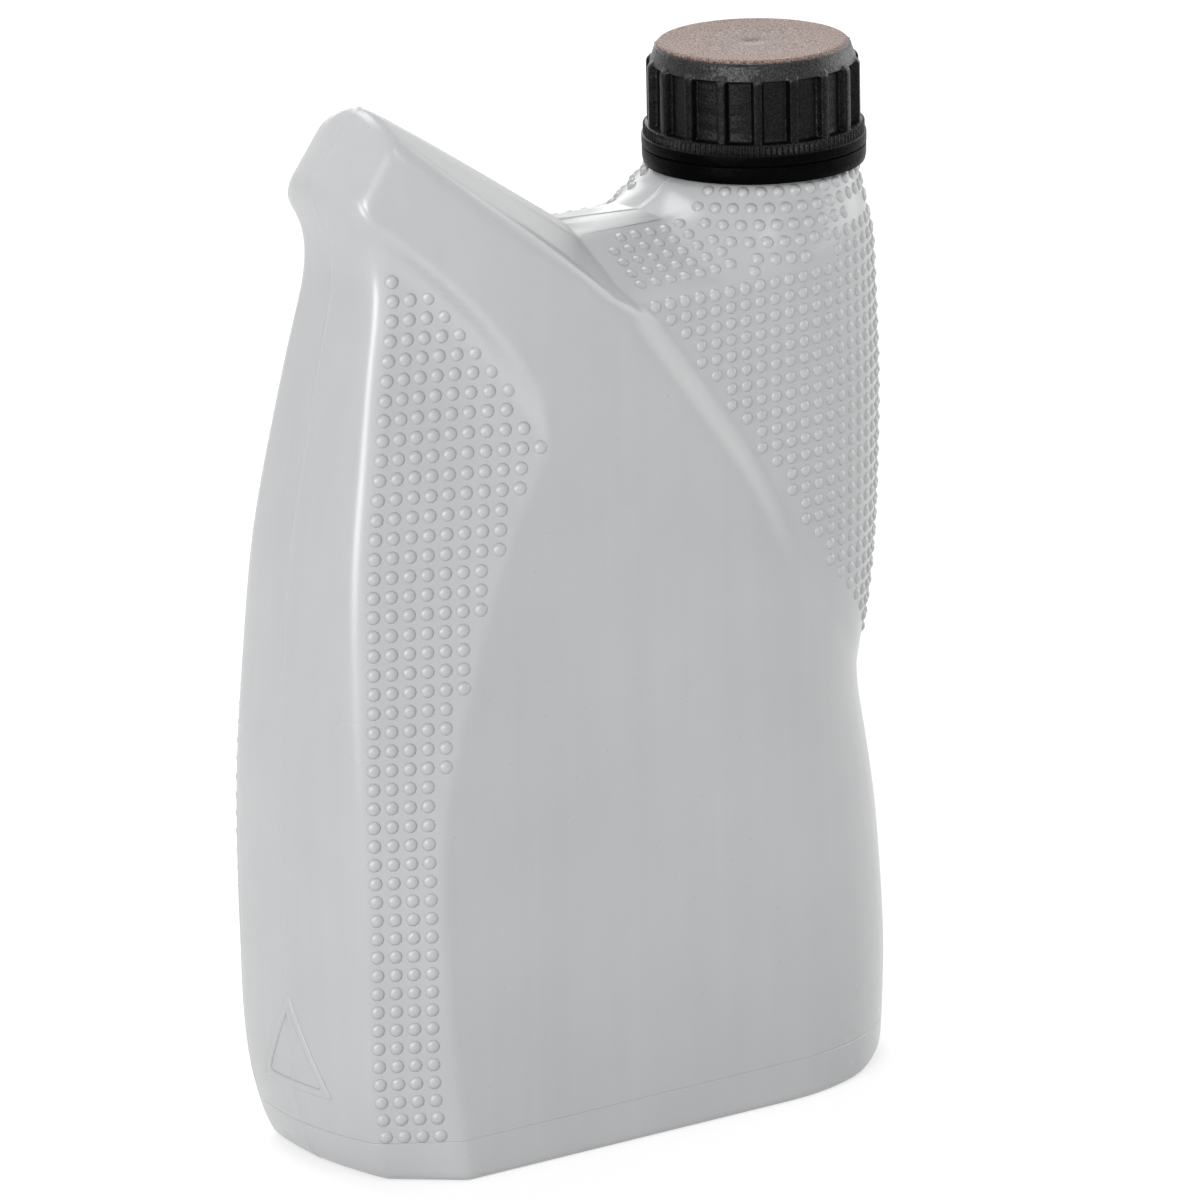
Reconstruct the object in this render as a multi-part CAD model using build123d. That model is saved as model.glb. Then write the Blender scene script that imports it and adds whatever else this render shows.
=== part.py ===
from build123d import *
from math import cos, radians, sin, sqrt, tan
import os

os.makedirs("parts", exist_ok=True)

# Frame: the label faces look along -Y and +Y, the cap stands at the +X end and
# the grip nose at the -X end. The bottle rests on z = 0.

# Blown body
body_length = 136.5
label_half_depth = 28.7
wall = 1.0
crown_radius = 48.0
end_rounding_length = 37.0
foot_corner_radius = 9.0
foot_edge_radius = 3.5
foot_recess = 1.2
foot_rim_width = 7.0

# Height, set-back of the narrow side's seam from the -X end, set-back of the panel's
# cap end from the +X end, half width of the narrow side, and x where the grip facet
# beside it meets the label face
body_stations = (
    (-2.0, 2.0, 2.2, 19.5, -46.5),
    (20.0, 0.9, 1.6, 19.8, -49.2),
    (52.0, 0.0, 3.0, 19.8, -51.2),
    (80.0, 0.6, 7.0, 18.0, -48.6),
    (96.0, 1.6, 9.6, 17.0, -43.8),
    (120.0, 4.1, 11.5, 15.6, -35.4),
    (140.0, 8.2, 12.0, 14.5, -24.7),
    (160.0, 12.9, 12.0, 13.1, -14.5),
    (170.0, 14.8, 12.0, 12.3, -9.6),
    (178.0, 13.9, 12.0, 11.7, -5.6),
    (190.0, 8.6, 12.0, 11.0, 0.0),
    (206.0, 4.0, 12.0, 10.4, 6.0),
)
ridge_radius = 3.0
facet_edge_radius = 2.0

# Reach of the facet planes past the ridge and past the label face, and the parts of the
# length, from the -X end, where the ridges and the facets' outer edges stand
facet_lead = 40.0
facet_run = 90.0
ridge_zone = 18.0
facet_zone = 38.0

# Sail: the raised label panel, with its arm up to the grip nose
sail_height = 2.3
sail_arc = ((-2.5, 162.5), (24.5, 126.0), (40.0, 104.0), (78.0, 64.0))
arm_angle = 39.3
arm_taper_start = 101.0
arm_taper_reach = 73.0
arm_taper_radius = 115.0

# Grip nose, and the roof over the arm
nose_top = (-47.4, 203.2)
nose_face_angle = 55.5
roof_angle = 31.0
roof_fall_angle = 24.0
roof_ridge_radius = 14.0
nose_edge_radius = 3.0
roof_edge_radius = 2.0

# Lower edge of the arm, where the grip facets end
arm_underside = ((-23.7, 142.0), (-38.0, 165.6), (-60.5, 187.5))

# Shoulder part: its roof falls from the saddle strip to a ridge along each side
shoulder_back_x = -15.0
shoulder_ridge_height = 161.5
saddle_rise = 10.5
saddle_height = shoulder_ridge_height + saddle_rise
saddle_half_width = 8.5
eave_overhang = 10.0

# Height, and set-back of the shoulder's cap end from the +X end
shoulder_stations = (
    (50.0, 13.0),
    (80.0, 5.4),
    (100.0, 1.4),
    (120.0, 0.2),
    (135.0, 0.0),
    (shoulder_ridge_height - 11.5, 0.2),
    (shoulder_ridge_height + 22.5, 1.0),
)

# Neck finish: every radius on it is a step out from the finish cylinder
cap_axis_inset = 24.1
cap_axis_x = body_length / 2 - cap_axis_inset
finish_radius = 15.8
finish_wall = 1.9
finish_height = 20.2
groove_radius = finish_radius + 1.6
groove_height = 2.4
bead_radius = finish_radius + 3.3
bead_height = 0.9
bead_slope = 45.0
lip_chamfer = 0.5

# Neck: a leaning cone up to the ledge at the foot of the finish
ledge_radius = finish_radius + 3.5
neck_rise = 6.0
ledge_height = saddle_height + neck_rise
cone_foot_radius = 30.36
cone_foot_lean = 5.96
cone_height = 20.5
cone_foot_height = ledge_height - cone_height
finish_top = ledge_height + finish_height

# Sealing disc, just clear of the lip
thread_room = 1.6
cap_bore_radius = finish_radius + thread_room
liner_thickness = 1.1
liner_clearance = 0.4
liner_seat_gap = 0.1
liner_foot = finish_top + liner_seat_gap
liner_radius = cap_bore_radius - liner_clearance

# Tamper ring: its flap lies on the ledge, caught under the bead
bead_clearance = 0.8
ring_bore_radius = bead_radius + bead_clearance
ring_wall = 1.4
ring_height = 3.3
ring_foot = ledge_height - 0.2
flap_radius = groove_radius + 0.6
flap_height = 1.8

# Screw cap
split_gap = 0.2
cap_foot = ring_foot + ring_height + split_gap
cap_plate = 1.66
cap_plate_foot = liner_foot + liner_thickness
cap_top = cap_plate_foot + cap_plate
cap_wall_radius = cap_bore_radius + 1.4
cap_dish = 0.4
gate_radius = 1.0
cap_edge_radius = 0.8
collar_top_radius = cap_wall_radius - 0.47
collar_foot_radius = cap_wall_radius + 0.8
collar_height = 3.85
rib_count = 18
rib_start_angle = 15.8
rib_projection = 1.6
rib_width = 2.0
rib_overlap = 0.9
rib_top_radius = 1.3
skirt_radius = ring_bore_radius + 1.48
skirt_height = 2.1
skirt_bore_height = 2.7
tooth_count = 120
tooth_radius = skirt_radius - 0.28
tooth_depth = 0.45
tooth_height = 2.0

# Sizes of the cutting forms, and how near counts as on a face
beyond = 300.0
nose_reach = 100.0
touch = 0.01


def bar(outline, plane):
    """Endless bar over an outline, both ways from its plane."""
    return extrude(plane * outline, amount=beyond, both=True)


def crown_set_back(half_width):
    return crown_radius - sqrt(crown_radius**2 - half_width**2)


def seam_x(height):
    """x of the narrow side's seam, on straight runs between the stations."""
    for low, high in zip(body_stations, body_stations[1:]):
        if low[0] <= height <= high[0]:
            share = (height - low[0]) / (high[0] - low[0])
            return low[1] + share * (high[1] - low[1]) - body_length / 2
    raise ValueError("height outside the stations")


def end_arc(end_x, half_depth):
    """Elliptical cap end of a plan section."""
    center = (end_x - end_rounding_length, 0)
    return EllipticalCenterArc(center, end_rounding_length, half_depth, start_angle=-90, arc_size=180)


def panel_section(height, left_x, end_x, half_depth):
    """Plan section of the panel part: crowned narrow side, flat faces, elliptical end."""
    corner_x = left_x + crown_set_back(half_depth)
    straight_end = end_x - end_rounding_length
    edges = [
        ThreePointArc((corner_x, half_depth), (left_x, 0), (corner_x, -half_depth)),
        Line((corner_x, -half_depth), (straight_end, -half_depth)),
        end_arc(end_x, half_depth),
        Line((straight_end, half_depth), (corner_x, half_depth)),
    ]
    return Pos(0, 0, height) * make_face(edges)


def shoulder_section(height, end_x, half_depth):
    """Plan section of the shoulder part: square inside the panel part, elliptical end."""
    straight_end = end_x - end_rounding_length
    square_end = Polyline(
        (straight_end, half_depth),
        (shoulder_back_x, half_depth),
        (shoulder_back_x, -half_depth),
        (straight_end, -half_depth),
    )
    return Pos(0, 0, height) * make_face([square_end, end_arc(end_x, half_depth)])


def arm_thickness(inset):
    """Flat label faces, which curve inwards along the arm towards the nose."""
    lean = radians(arm_angle)
    plane = Plane(origin=(0, 0, 0), x_dir=(-cos(lean), 0, sin(lean)), z_dir=(sin(lean), 0, cos(lean)))
    half = label_half_depth - inset
    start, reach, radius = arm_taper_start, arm_taper_reach, arm_taper_radius
    mid_half = half - radius + sqrt(radius**2 - (reach / 2) ** 2)
    tip_half = half - radius + sqrt(radius**2 - reach**2)
    edges = [
        ThreePointArc((start, half), (start + reach / 2, mid_half), (start + reach, tip_half)),
        Line((start + reach, tip_half), (start + reach, -tip_half)),
        ThreePointArc((start + reach, -tip_half), (start + reach / 2, -mid_half), (start, -half)),
        Polyline((start, -half), (-beyond, -half), (-beyond, half), (start, half)),
    ]
    return bar(make_face(edges), plane)


def roof(inset):
    """Roof over the arm: it falls from the seam to both edges."""
    slope = radians(roof_angle)
    plane = Plane(
        origin=(nose_top[0], 0, nose_top[1]), x_dir=(0, 1, 0), z_dir=(cos(slope), 0, -sin(slope))
    )
    fall = radians(roof_fall_angle)
    lift = roof_ridge_radius * (1 / cos(fall) - 1) - inset
    eave = lift - beyond * tan(fall)
    outline = make_face(
        Polyline(
            (-beyond, eave), (0, lift), (beyond, eave), (beyond, -beyond), (-beyond, -beyond), close=True
        )
    )
    ridge = outline.vertices().sort_by(Axis.Y)[-1]
    return bar(fillet(ridge, roof_ridge_radius - inset), plane)


def panel_side(inset):
    """Side view of the panel part: nose face, sail arc and foot corners."""
    nose = radians(nose_face_angle)
    top_x = nose_top[0] + inset / sin(nose)
    top_z = nose_top[1]
    nose_foot = (top_x - nose_reach * cos(nose), top_z - nose_reach * sin(nose))
    roof_end = (sail_arc[0][0], top_z)
    floor = inset + (foot_recess if inset else 0.0)
    corner = foot_corner_radius - inset
    narrow_x = seam_x(corner) + inset
    end_x = body_length / 2 - body_stations[0][2] - inset
    arc = Spline(*[(x - inset, z - inset) for x, z in sail_arc])
    bend = corner * (1 - sqrt(0.5))
    edges = [
        Line(roof_end, arc @ 0),
        arc,
        Polyline(arc @ 1, (beyond, (arc @ 1).Y), (beyond, floor + corner), (end_x, floor + corner)),
        ThreePointArc((end_x, floor + corner), (end_x - bend, floor + bend), (end_x - corner, floor)),
        Line((end_x - corner, floor), (narrow_x + corner, floor)),
        ThreePointArc(
            (narrow_x + corner, floor), (narrow_x + bend, floor + bend), (narrow_x, floor + corner)
        ),
        Polyline(
            (narrow_x, floor + corner), (-beyond, floor + corner), (-beyond, nose_foot[1]), nose_foot,
            (top_x, top_z), roof_end,
        ),
    ]
    return bar(make_face(edges), Plane.XZ)


def facet_space(inset):
    """Space in front of one grip facet, at full height."""
    sections = []
    for height, narrow, _, ridge_half, facet_x in body_stations:
        ridge = Vector(narrow - body_length / 2 + crown_set_back(ridge_half), -ridge_half)
        along = (Vector(facet_x, -label_half_depth) - ridge).normalized()
        ridge = ridge + Vector(-along.Y, along.X) * inset
        near, off = ridge - along * facet_lead, ridge + along * facet_run
        outline = Polyline(
            (near.X, near.Y), (off.X, off.Y), (off.X, -facet_run), (near.X, -facet_run), close=True
        )
        sections.append(Pos(0, 0, height) * make_face(outline))
    return loft(sections)


def upright_edges(form, low_x, high_x):
    """The form's full-height edges whose middle lies between two x values."""
    tall = form.edges().filter_by(lambda edge: edge.length > nose_top[1])
    return tall.filter_by(lambda edge: low_x < (edge @ 0.5).X < high_x)


def gripped_form(blank, inset):
    """The blank with both grip facets, rounded where they start and where they end."""
    space = facet_space(inset)
    form = blank - space - mirror(space, Plane.XZ)
    ridge_limit = ridge_zone - body_length / 2
    facet_limit = facet_zone - body_length / 2
    form = form.fillet(ridge_radius - inset, upright_edges(form, -beyond, ridge_limit))
    return form.fillet(facet_edge_radius, upright_edges(form, ridge_limit, facet_limit))


def below_arm(inset):
    """Everything under the lower edge of the arm, which stands a wall higher inside."""
    lean = radians(arm_angle)
    shift = (inset * sin(lean), inset * cos(lean))
    corner, middle, nose = [(x + shift[0], z + shift[1]) for x, z in arm_underside]
    outline = make_face(
        [
            ThreePointArc(corner, middle, nose),
            Polyline(nose, (-beyond, nose[1]), (-beyond, -beyond), (corner[0], -beyond), corner),
        ]
    )
    return bar(outline, Plane.XZ)


def foot_edges(inset):
    """End view of the body: rounded edges along the foot of the label faces."""
    half = label_half_depth - inset
    floor = inset + (foot_recess if inset else 0.0)
    outline = make_face(
        Polyline((-half, beyond), (-half, floor), (half, floor), (half, beyond), close=True)
    )
    corners = outline.vertices().filter_by(lambda v: v.Y < beyond / 2)
    return bar(fillet(corners, foot_edge_radius - inset), Plane.YZ)


def round_arm(arm):
    """Rounded edges along the roof and round the nose face, but for its chin."""
    slope = tan(radians(nose_face_angle))

    def on_nose_face(point):
        return abs(nose_top[1] - point.Z - slope * (nose_top[0] - point.X)) < touch

    above = arm.edges().filter_by(lambda edge: (edge @ 0.5).Z > saddle_height)
    arm = arm.fillet(roof_edge_radius, above.sort_by(SortBy.LENGTH)[-2:])
    face = arm.edges().filter_by(lambda edge: all(on_nose_face(edge @ share) for share in (0, 0.5, 1)))
    return arm.fillet(nose_edge_radius, face.sort_by(Axis.Z)[1:])


def panel_part(inset):
    """Narrow side, label panel, arm and nose as one form."""
    end = body_length / 2
    blank = loft(
        [
            panel_section(height, narrow - end + inset, end - cap_end - inset, label_half_depth - inset)
            for height, narrow, cap_end, _, _ in body_stations
        ]
    )
    limits = arm_thickness(inset) & panel_side(inset)
    arm = (blank - below_arm(inset)) & limits & roof(inset)
    if not inset:
        arm = round_arm(arm)
    grip = gripped_form(blank, inset) & below_arm(inset) & limits
    return (grip + arm) & foot_edges(inset)


def saddle_house(inset):
    """Flat saddle strip with a slope down to each shoulder ridge, as far as the cap axis."""
    half = label_half_depth - sail_height
    fall = (saddle_height - shoulder_ridge_height) / (half - saddle_half_width)
    eave_y = half + eave_overhang
    eave = shoulder_ridge_height - inset - eave_overhang * fall
    strip = saddle_height - inset
    outline = make_face(
        Polyline(
            (-eave_y, 0), (eave_y, 0), (eave_y, eave), (saddle_half_width, strip),
            (-saddle_half_width, strip), (-eave_y, eave), close=True,
        )
    )
    return extrude(Plane.YZ.offset(-beyond) * outline, amount=beyond + cap_axis_x)


def neck_cone(inset):
    """Leaning cone; inside, it closes in under the ledge at the foot of the finish."""
    foot = Pos(cap_axis_x - cone_foot_lean, 0, cone_foot_height) * Circle(cone_foot_radius - inset)
    top_radius = groove_radius - inset if inset else ledge_radius
    top = Pos(cap_axis_x, 0, ledge_height - inset) * Circle(top_radius)
    return loft([foot, top])


def shoulder_part(inset):
    """Shoulder under the cap, a step lower than the label panel."""
    half = label_half_depth - sail_height - inset
    end = body_length / 2 - inset
    plan = loft([shoulder_section(height, end - back, half) for height, back in shoulder_stations])
    below_ridge = Pos(0, 0, shoulder_ridge_height - inset) * Box(
        beyond, beyond, beyond, align=(Align.CENTER, Align.CENTER, Align.MAX)
    )
    return plan & (saddle_house(inset) + below_ridge + neck_cone(inset))


def body_form(inset):
    return panel_part(inset) + shoulder_part(inset)


def on_cap_axis(profile):
    """Turned solid from a profile of radius and height."""
    return Pos(cap_axis_x, 0, 0) * revolve(Plane.XZ * make_face(Polyline(*profile, close=True)), Axis.Z)


def neck_finish():
    """Plain cylinder with the tamper bead over its groove, rooted in the cone."""
    root = ledge_height - groove_height
    bead_foot = ledge_height + groove_height
    bead_top = bead_foot + bead_height
    slope_top = bead_top + (bead_radius - finish_radius) * tan(radians(bead_slope))
    return on_cap_axis(
        [
            (0, root),
            (groove_radius, root),
            (groove_radius, bead_foot),
            (bead_radius, bead_foot),
            (bead_radius, bead_top),
            (finish_radius, slope_top),
            (finish_radius, finish_top - lip_chamfer),
            (finish_radius - lip_chamfer, finish_top),
            (0, finish_top),
        ]
    )


def foot_hollow():
    """Shallow hollow under the base, inside its standing rim."""
    _, narrow, cap_end, _, _ = body_stations[0]
    left_x = narrow + foot_rim_width - body_length / 2
    end_x = body_length / 2 - cap_end - foot_rim_width
    section = panel_section(-foot_recess, left_x, end_x, label_half_depth - foot_rim_width)
    return extrude(section, amount=2 * foot_recess)


def bottle():
    """Blown shell, open at the mouth."""
    mouth = Pos(cap_axis_x, 0, shoulder_ridge_height) * Cylinder(
        finish_radius - finish_wall,
        2 * (finish_top - shoulder_ridge_height),
        align=(Align.CENTER, Align.CENTER, Align.MIN),
    )
    return body_form(0) + neck_finish() - (body_form(wall) + mouth) - foot_hollow()


def cap_rib():
    """One grip rib, rounded over into the collar at its top."""
    foot = cap_foot + skirt_height
    top = cap_top - collar_height + rib_overlap
    inner = cap_wall_radius - (cap_wall_radius - cap_bore_radius) / 2
    outer = cap_wall_radius + rib_projection
    side = make_face(Polyline((inner, foot), (outer, foot), (outer, top), (inner, top), close=True))
    corner = side.vertices().sort_by(Axis.X)[-2:].sort_by(Axis.Y)[-1]
    return extrude(Plane.XZ * fillet(corner, rib_top_radius), amount=rib_width / 2, both=True)


def tooth_ring():
    """Band of small pointed teeth above the skirt."""
    step = radians(360 / tooth_count)
    points = []
    for tooth in range(tooth_count):
        for turn, radius in ((tooth, tooth_radius), (tooth + 0.5, tooth_radius - tooth_depth)):
            points.append((radius * cos(turn * step), radius * sin(turn * step)))
    star = make_face(Polyline(*points, close=True))
    return Pos(cap_axis_x, 0, cap_foot + skirt_height) * extrude(star, amount=tooth_height)


def cap():
    """Screw cap: dished top, tapered collar, ribbed wall, toothed band and plain skirt."""
    collar_foot = cap_top - collar_height
    skirt_top = cap_foot + skirt_height
    outline = make_face(
        Polyline(
            (0, cap_foot), (skirt_radius, cap_foot),
            (skirt_radius, skirt_top), (cap_wall_radius, skirt_top),
            (cap_wall_radius, collar_foot), (collar_foot_radius, collar_foot), (collar_top_radius, cap_top),
            (gate_radius, cap_top - cap_dish), (0, cap_top - cap_dish), close=True,
        )
    )
    rim = outline.vertices().sort_by(Axis.Y)[-1]
    blank = Pos(cap_axis_x, 0, 0) * revolve(Plane.XZ * fillet(rim, cap_edge_radius), Axis.Z)
    places = PolarLocations(0, rib_count, start_angle=rib_start_angle)
    ribs = [Pos(cap_axis_x, 0, 0) * place * cap_rib() for place in places]
    bore = on_cap_axis(
        [
            (0, cap_foot), (ring_bore_radius, cap_foot), (ring_bore_radius, cap_foot + skirt_bore_height),
            (cap_bore_radius, cap_foot + skirt_bore_height), (cap_bore_radius, cap_plate_foot),
            (0, cap_plate_foot),
        ]
    )
    return blank + tooth_ring() + ribs - bore


def tamper_ring():
    """Ring under the cap, with a flap turned in under the bead."""
    outer = ring_bore_radius + ring_wall
    ring_top = ring_foot + ring_height
    return on_cap_axis(
        [
            (ring_bore_radius, ring_foot), (outer, ring_foot),
            (outer, ring_top), (ring_bore_radius, ring_top),
            (ring_bore_radius, ledge_height + flap_height), (flap_radius, ledge_height + flap_height),
            (flap_radius, ledge_height), (ring_bore_radius, ledge_height),
        ]
    )


def cap_liner():
    """Sealing disc inside the top of the cap."""
    return Pos(cap_axis_x, 0, liner_foot) * Cylinder(
        liner_radius, liner_thickness, align=(Align.CENTER, Align.CENTER, Align.MIN)
    )


export_step(bottle(), "parts/bottle.step")
export_step(cap(), "parts/cap.step")
export_step(tamper_ring(), "parts/tamper_ring.step")
export_step(cap_liner(), "parts/cap_liner.step")
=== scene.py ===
import bmesh
import bpy
import numpy as np
from mathutils import Matrix


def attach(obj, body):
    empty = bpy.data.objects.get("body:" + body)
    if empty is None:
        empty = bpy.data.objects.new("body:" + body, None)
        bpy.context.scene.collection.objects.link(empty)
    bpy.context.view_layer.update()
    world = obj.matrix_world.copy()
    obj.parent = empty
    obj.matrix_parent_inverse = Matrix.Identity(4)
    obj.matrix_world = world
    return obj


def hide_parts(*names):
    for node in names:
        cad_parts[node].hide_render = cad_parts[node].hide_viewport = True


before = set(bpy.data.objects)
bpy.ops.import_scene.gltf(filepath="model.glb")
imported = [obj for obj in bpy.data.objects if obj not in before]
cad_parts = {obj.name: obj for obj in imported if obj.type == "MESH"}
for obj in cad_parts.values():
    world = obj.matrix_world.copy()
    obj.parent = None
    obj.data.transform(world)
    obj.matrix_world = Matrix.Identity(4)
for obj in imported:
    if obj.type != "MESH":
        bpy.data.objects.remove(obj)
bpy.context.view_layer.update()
scene = bpy.context.scene
scene.view_settings.view_transform = "Standard"
mm = 0.001                     # every length below is in millimetres


# small helpers

def linear(code):
    # sRGB hex to linear: below 0.04045 a straight line, above it a power of 2.4
    srgb = np.array([int(code[i:i + 2], 16) for i in (1, 3, 5)]) / 255
    value = np.where(srgb <= 0.04045, srgb / 12.92, ((srgb + 0.055) / 1.055) ** 2.4)
    return (*value, 1.0)


def addNode(tree, kind, settings=(), inputs=()):
    # adds a node, sets its properties, then fills its inputs with values or links
    node = tree.nodes.new(kind)
    for name, value in dict(settings).items():
        setattr(node, name, value)
    for name, value in dict(inputs).items():
        if isinstance(value, bpy.types.NodeSocket):
            tree.links.new(value, node.inputs[name])
        else:
            node.inputs[name].default_value = value
    return node


def newMaterial(name):
    material = bpy.data.materials.new(name)
    material.use_nodes = True
    tree = material.node_tree
    tree.nodes.clear()
    coords = addNode(tree, "ShaderNodeTexCoord").outputs["Object"]
    output = addNode(tree, "ShaderNodeOutputMaterial")
    return material, tree, coords, output


def smoothStep(value, low, high):
    # 0 below low, 1 above high, 3t^2 - 2t^3 between
    share = np.clip((value - low) / (high - low), 0, 1)
    return share * share * (3 - 2 * share)


def gridQuads(rows, columns, closed=False):
    # quads of a grid of rows x columns points, numbered row by row
    wide = columns if closed else columns - 1
    row, column = np.meshgrid(np.arange(rows - 1), np.arange(wide), indexing="ij")
    right = (column + 1) % columns
    corners = [row * columns + column, row * columns + right,
               (row + 1) * columns + right, (row + 1) * columns + column]
    return np.stack(corners, -1).reshape(-1, 4)


def addPiece(name, patches, material, body, replaces=(), weld=0.002):
    # joins patches of (points, quads), merges their doubles and points the faces outwards
    points, quads, start = [], [], 0
    for patchPoints, patchQuads in patches:
        flat = np.asarray(patchPoints).reshape(-1, 3)
        points.append(flat)
        quads.append(patchQuads + start)
        start += len(flat)
    mesh = bpy.data.meshes.new(name)
    mesh.from_pydata((np.concatenate(points) * mm).tolist(), [], np.concatenate(quads).tolist())
    work = bmesh.new()
    work.from_mesh(mesh)
    bmesh.ops.remove_doubles(work, verts=work.verts, dist=weld * mm)
    bmesh.ops.dissolve_degenerate(work, edges=work.edges, dist=weld * mm / 4)
    bmesh.ops.recalc_face_normals(work, faces=work.faces)
    work.to_mesh(mesh)
    work.free()
    mesh.polygons.foreach_set("use_smooth", np.ones(len(mesh.polygons), bool))
    mesh.materials.append(material)
    piece = bpy.data.objects.new(name, mesh)
    scene.collection.objects.link(piece)
    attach(piece, body)
    if replaces:
        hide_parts(*replaces)
    return piece


def turned(profile, axisX, columns):
    # a profile of (radius, height) carried once round an upright axis
    profile = np.asarray(profile, float)
    angle = np.linspace(0, 2 * np.pi, columns, endpoint=False)
    radius = profile[:, :1]
    points = np.stack([axisX + radius * np.cos(angle), radius * np.sin(angle),
                       profile[:, 1:] + 0 * angle], -1)
    return points, gridQuads(len(profile), columns, closed=True)


def roundedProfile(corners, steps=5):
    # a polyline of (radius, height, rounding): a rounded corner is a short parabola
    corners = np.asarray(corners, float)
    points = []
    for before, corner, after in zip(np.roll(corners, 1, 0), corners, np.roll(corners, -1, 0)):
        place, rounding = corner[:2], corner[2]
        if rounding == 0:
            points.append(place)
            continue
        towards = before[:2] - place
        onwards = after[:2] - place
        start = place + towards / np.linalg.norm(towards) * rounding
        end = place + onwards / np.linalg.norm(onwards) * rounding
        share = np.linspace(0, 1, steps)[:, None]
        points.extend((1 - share) ** 2 * start + 2 * share * (1 - share) * place + share ** 2 * end)
    return np.array(points)


# materials

# Blow-moulded HDPE, pigmented silver grey: a satin skin, softly clouded by the mould,
# with faint upright flow streaks, sparse dark specks and a fine line scribed round the foot
hdpe = {
    "grey": "#b1b2b3", "clouded": "#abacad", "speck": "#8a8c8d",
    "cloudSize": 35.0, "cloudRange": (0.45, 0.9), "streakShare": 0.35, "streakStretch": 0.06,
    "streakSize": 3.5, "speckSize": 2.2, "grainSize": 0.45,
    "roughness": 0.25, "grainHeight": 0.02, "scribeZ": 8.2, "scribeHalf": 0.24, "scribeDepth": 0.09,
}


def makeHdpe(name):
    material, tree, coords, output = newMaterial(name)
    cloud = addNode(tree, "ShaderNodeTexNoise", {},
                    {"Vector": coords, "Scale": 1 / (hdpe["cloudSize"] * mm), "Detail": 3.0})
    stretched = addNode(tree, "ShaderNodeMapping", {}, {"Vector": coords, "Scale": (1, 1, hdpe["streakStretch"])})
    streak = addNode(tree, "ShaderNodeTexNoise", {},
                     {"Vector": stretched.outputs[0], "Scale": 1 / (hdpe["streakSize"] * mm), "Detail": 2.0})
    blend = addNode(tree, "ShaderNodeMath", {"operation": "MULTIPLY_ADD"},
                    {0: streak.outputs["Fac"], 1: hdpe["streakShare"], 2: cloud.outputs["Fac"]})
    cloudRamp = addNode(tree, "ShaderNodeMapRange", {},
                        {"Value": blend.outputs[0], "From Min": hdpe["cloudRange"][0],
                         "From Max": hdpe["cloudRange"][1]})
    tone = addNode(tree, "ShaderNodeMix", {"data_type": "RGBA"}, {"Factor": cloudRamp.outputs[0]})
    tone.inputs["A"].default_value = linear(hdpe["grey"])
    tone.inputs["B"].default_value = linear(hdpe["clouded"])
    cells = addNode(tree, "ShaderNodeTexVoronoi", {},
                    {"Vector": coords, "Scale": 1 / (hdpe["speckSize"] * mm)})
    speck = addNode(tree, "ShaderNodeMapRange", {},
                    {"Value": cells.outputs["Distance"], "From Min": 0.07, "From Max": 0.03})
    spare = addNode(tree, "ShaderNodeMath", {"operation": "GREATER_THAN"},
                    {0: cells.outputs["Color"], 1: 0.86})
    speckShare = addNode(tree, "ShaderNodeMath", {"operation": "MULTIPLY"},
                         {0: speck.outputs[0], 1: spare.outputs[0]})
    colour = addNode(tree, "ShaderNodeMix", {"data_type": "RGBA"}, {"Factor": speckShare.outputs[0]})
    tree.links.new(tone.outputs["Result"], colour.inputs["A"])
    colour.inputs["B"].default_value = linear(hdpe["speck"])
    grain = addNode(tree, "ShaderNodeTexNoise", {},
                    {"Vector": coords, "Scale": 1 / (hdpe["grainSize"] * mm), "Detail": 2.0})
    place = addNode(tree, "ShaderNodeSeparateXYZ", {}, {"Vector": coords})
    above = addNode(tree, "ShaderNodeMath", {"operation": "SUBTRACT"},
                    {0: place.outputs["Z"], 1: hdpe["scribeZ"] * mm})
    off = addNode(tree, "ShaderNodeMath", {"operation": "ABSOLUTE"}, {0: above.outputs[0]})
    scribe = addNode(tree, "ShaderNodeMapRange", {"interpolation_type": "SMOOTHSTEP"},
                     {"Value": off.outputs[0], "From Max": hdpe["scribeHalf"] * mm})
    groove = addNode(tree, "ShaderNodeBump", {},
                     {"Height": scribe.outputs[0], "Distance": hdpe["scribeDepth"] * mm, "Strength": 1.0})
    bump = addNode(tree, "ShaderNodeBump", {},
                   {"Height": grain.outputs["Fac"], "Distance": hdpe["grainHeight"] * mm, "Strength": 0.6,
                    "Normal": groove.outputs[0]})
    shine = addNode(tree, "ShaderNodeMapRange", {},
                    {"Value": cloud.outputs["Fac"], "To Min": hdpe["roughness"] - 0.05,
                     "To Max": hdpe["roughness"] + 0.06})
    shader = addNode(tree, "ShaderNodeBsdfPrincipled", {},
                     {"Base Color": colour.outputs["Result"], "Roughness": shine.outputs[0],
                      "IOR": 1.54, "Normal": bump.outputs[0]})
    tree.links.new(shader.outputs[0], output.inputs["Surface"])
    return material


bottleMaterial = makeHdpe("HDPE blow moulded silver grey")

# Injection-moulded polypropylene, black: a spark-eroded grain on the top and collar, the top painted a lighter warm
# grey as painted light for the light it catches, mottled by the grain, and a closer, glossier skin on the skirt and the
# ring
blackPp = {
    "black": "#030303", "paintedTopLight": "#9c7e71", "grainSize": 0.34, "waveSize": 2.2, "waveHeight": 0.4,
    "roughness": 0.3, "topRoughness": 0.5, "topHeight": 200.3, "grainHeight": 0.13,
    "collarFoot": 196.9, "skirtTop": 183.2, "skirtGloss": 0.02, "ribGloss": 0.16, "collarGloss": 0.4,
}


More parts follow.
